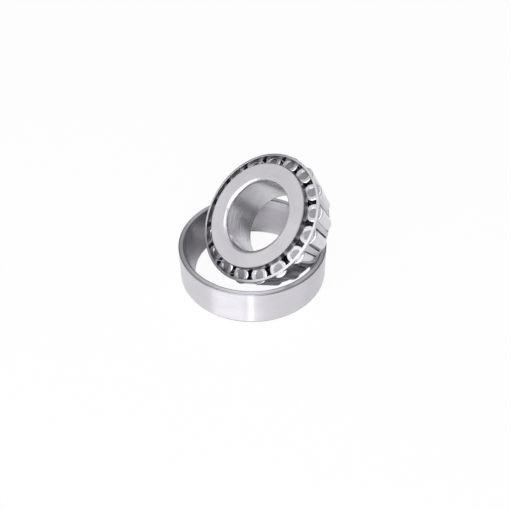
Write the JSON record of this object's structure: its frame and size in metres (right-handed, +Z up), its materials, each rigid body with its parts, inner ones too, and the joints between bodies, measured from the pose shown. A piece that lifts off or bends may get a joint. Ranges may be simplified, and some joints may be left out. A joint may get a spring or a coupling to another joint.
{
  "type": "tapered roller bearing",
  "caption": "Single-row tapered roller bearing: inner ring with rollers in a pressed cage, leaning in its separable outer ring, for combined radial and axial load.",
  "frame": {"origin": "centre of the outer ring's wide back face, which lies flat on the ground", "axes": "+Z up along the outer ring's axis, towards its wide mouth; the inner ring with its rollers and cage leans towards +X +Y with its back face turned to -X -Y"},
  "size_m": [0.0735, 0.072, 0.0545],
  "materials": {
    "ground_steel": "fine ground",
    "polished_steel": "ground faces, honed race",
    "pressed_steel": "pressed sheet, satin",
    "roller_steel": "superfinished"
  },
  "bodies": {
    "cup": {"outer_ring": "ground_steel"},
    "cone": {"inner_ring": "polished_steel"},
    "cage": {"cage": "pressed_steel"},
    "roller_01": {"roller_01": "roller_steel"},
    "roller_02": {"roller_02": "roller_steel"},
    "roller_03": {"roller_03": "roller_steel"},
    "roller_04": {"roller_04": "roller_steel"},
    "roller_05": {"roller_05": "roller_steel"},
    "roller_06": {"roller_06": "roller_steel"},
    "roller_07": {"roller_07": "roller_steel"},
    "roller_08": {"roller_08": "roller_steel"},
    "roller_09": {"roller_09": "roller_steel"},
    "roller_10": {"roller_10": "roller_steel"},
    "roller_11": {"roller_11": "roller_steel"},
    "roller_12": {"roller_12": "roller_steel"},
    "roller_13": {"roller_13": "roller_steel"},
    "roller_14": {"roller_14": "roller_steel"},
    "roller_15": {"roller_15": "roller_steel"},
    "roller_16": {"roller_16": "roller_steel"},
    "roller_17": {"roller_17": "roller_steel"}
  },
  "joints": [
    {"name": "lift_out", "type": "slide", "parent": "cup", "child": "cone", "axis": [0, 0, 1], "range_m": [0, 0.03]},
    {"name": "cage_spin", "type": "hinge", "parent": "cone", "child": "cage", "pos_m": [0.00808, 0.00534, 0.02665], "axis": [-0.5522, -0.3655, 0.7493], "continuous": true},
    {"name": "roller_01_roll", "type": "hinge", "parent": "cage", "child": "roller_01", "pos_m": [-0.0076, -0.00625, 0.00781], "axis": [-0.667, -0.451, 0.5931], "continuous": true},
    {"name": "roller_02_roll", "type": "hinge", "parent": "cage", "child": "roller_02", "pos_m": [-0.00087, -0.01344, 0.00927], "axis": [-0.6147, -0.5069, 0.6044], "continuous": true},
    {"name": "roller_03_roll", "type": "hinge", "parent": "cage", "child": "roller_03", "pos_m": [0.00716, -0.01803, 0.01295], "axis": [-0.5522, -0.5426, 0.633], "continuous": true},
    {"name": "roller_04_roll", "type": "hinge", "parent": "cage", "child": "roller_04", "pos_m": [0.0154, -0.0194, 0.01835], "axis": [-0.4881, -0.5532, 0.675], "continuous": true},
    {"name": "roller_05_roll", "type": "hinge", "parent": "cage", "child": "roller_05", "pos_m": [0.02275, -0.01738, 0.02475], "axis": [-0.431, -0.5375, 0.7248], "continuous": true},
    {"name": "roller_06_roll", "type": "hinge", "parent": "cage", "child": "roller_06", "pos_m": [0.0282, -0.01222, 0.03129], "axis": [-0.3885, -0.4974, 0.7757], "continuous": true},
    {"name": "roller_07_roll", "type": "hinge", "parent": "cage", "child": "roller_07", "pos_m": [0.03103, -0.00463, 0.03708], "axis": [-0.3665, -0.4383, 0.8207], "continuous": true},
    {"name": "roller_08_roll", "type": "hinge", "parent": "cage", "child": "roller_08", "pos_m": [0.03085, 0.00437, 0.04133], "axis": [-0.368, -0.3684, 0.8538], "continuous": true},
    {"name": "roller_09_roll", "type": "hinge", "parent": "cage", "child": "roller_09", "pos_m": [0.02769, 0.01356, 0.04348], "axis": [-0.3926, -0.2969, 0.8705], "continuous": true},
    {"name": "roller_10_roll", "type": "hinge", "parent": "cage", "child": "roller_10", "pos_m": [0.02196, 0.0217, 0.04324], "axis": [-0.4371, -0.2336, 0.8686], "continuous": true},
    {"name": "roller_11_roll", "type": "hinge", "parent": "cage", "child": "roller_11", "pos_m": [0.01445, 0.02769, 0.04063], "axis": [-0.4955, -0.187, 0.8483], "continuous": true},
    {"name": "roller_12_roll", "type": "hinge", "parent": "cage", "child": "roller_12", "pos_m": [0.00617, 0.03072, 0.036], "axis": [-0.5599, -0.1634, 0.8123], "continuous": true},
    {"name": "roller_13_roll", "type": "hinge", "parent": "cage", "child": "roller_13", "pos_m": [-0.00176, 0.03039, 0.03], "axis": [-0.6215, -0.166, 0.7656], "continuous": true},
    {"name": "roller_14_roll", "type": "hinge", "parent": "cage", "child": "roller_14", "pos_m": [-0.00827, 0.02674, 0.02341], "axis": [-0.6722, -0.1944, 0.7144], "continuous": true},
    {"name": "roller_15_roll", "type": "hinge", "parent": "cage", "child": "roller_15", "pos_m": [-0.01248, 0.02025, 0.01715], "axis": [-0.7049, -0.2448, 0.6657], "continuous": true},
    {"name": "roller_16_roll", "type": "hinge", "parent": "cage", "child": "roller_16", "pos_m": [-0.01383, 0.01182, 0.01204], "axis": [-0.7154, -0.3105, 0.626], "continuous": true},
    {"name": "roller_17_roll", "type": "hinge", "parent": "cage", "child": "roller_17", "pos_m": [-0.01213, 0.00256, 0.00878], "axis": [-0.7022, -0.3824, 0.6006], "continuous": true}
  ],
  "couplings": [
    {"joint": "roller_01_roll", "follows": "cage_spin", "ratio": 5.4535},
    {"joint": "roller_02_roll", "follows": "cage_spin", "ratio": 5.4535},
    {"joint": "roller_03_roll", "follows": "cage_spin", "ratio": 5.4535},
    {"joint": "roller_04_roll", "follows": "cage_spin", "ratio": 5.4535},
    {"joint": "roller_05_roll", "follows": "cage_spin", "ratio": 5.4535},
    {"joint": "roller_06_roll", "follows": "cage_spin", "ratio": 5.4535},
    {"joint": "roller_07_roll", "follows": "cage_spin", "ratio": 5.4535},
    {"joint": "roller_08_roll", "follows": "cage_spin", "ratio": 5.4535},
    {"joint": "roller_09_roll", "follows": "cage_spin", "ratio": 5.4535},
    {"joint": "roller_10_roll", "follows": "cage_spin", "ratio": 5.4535},
    {"joint": "roller_11_roll", "follows": "cage_spin", "ratio": 5.4535},
    {"joint": "roller_12_roll", "follows": "cage_spin", "ratio": 5.4535},
    {"joint": "roller_13_roll", "follows": "cage_spin", "ratio": 5.4535},
    {"joint": "roller_14_roll", "follows": "cage_spin", "ratio": 5.4535},
    {"joint": "roller_15_roll", "follows": "cage_spin", "ratio": 5.4535},
    {"joint": "roller_16_roll", "follows": "cage_spin", "ratio": 5.4535},
    {"joint": "roller_17_roll", "follows": "cage_spin", "ratio": 5.4535}
  ]
}
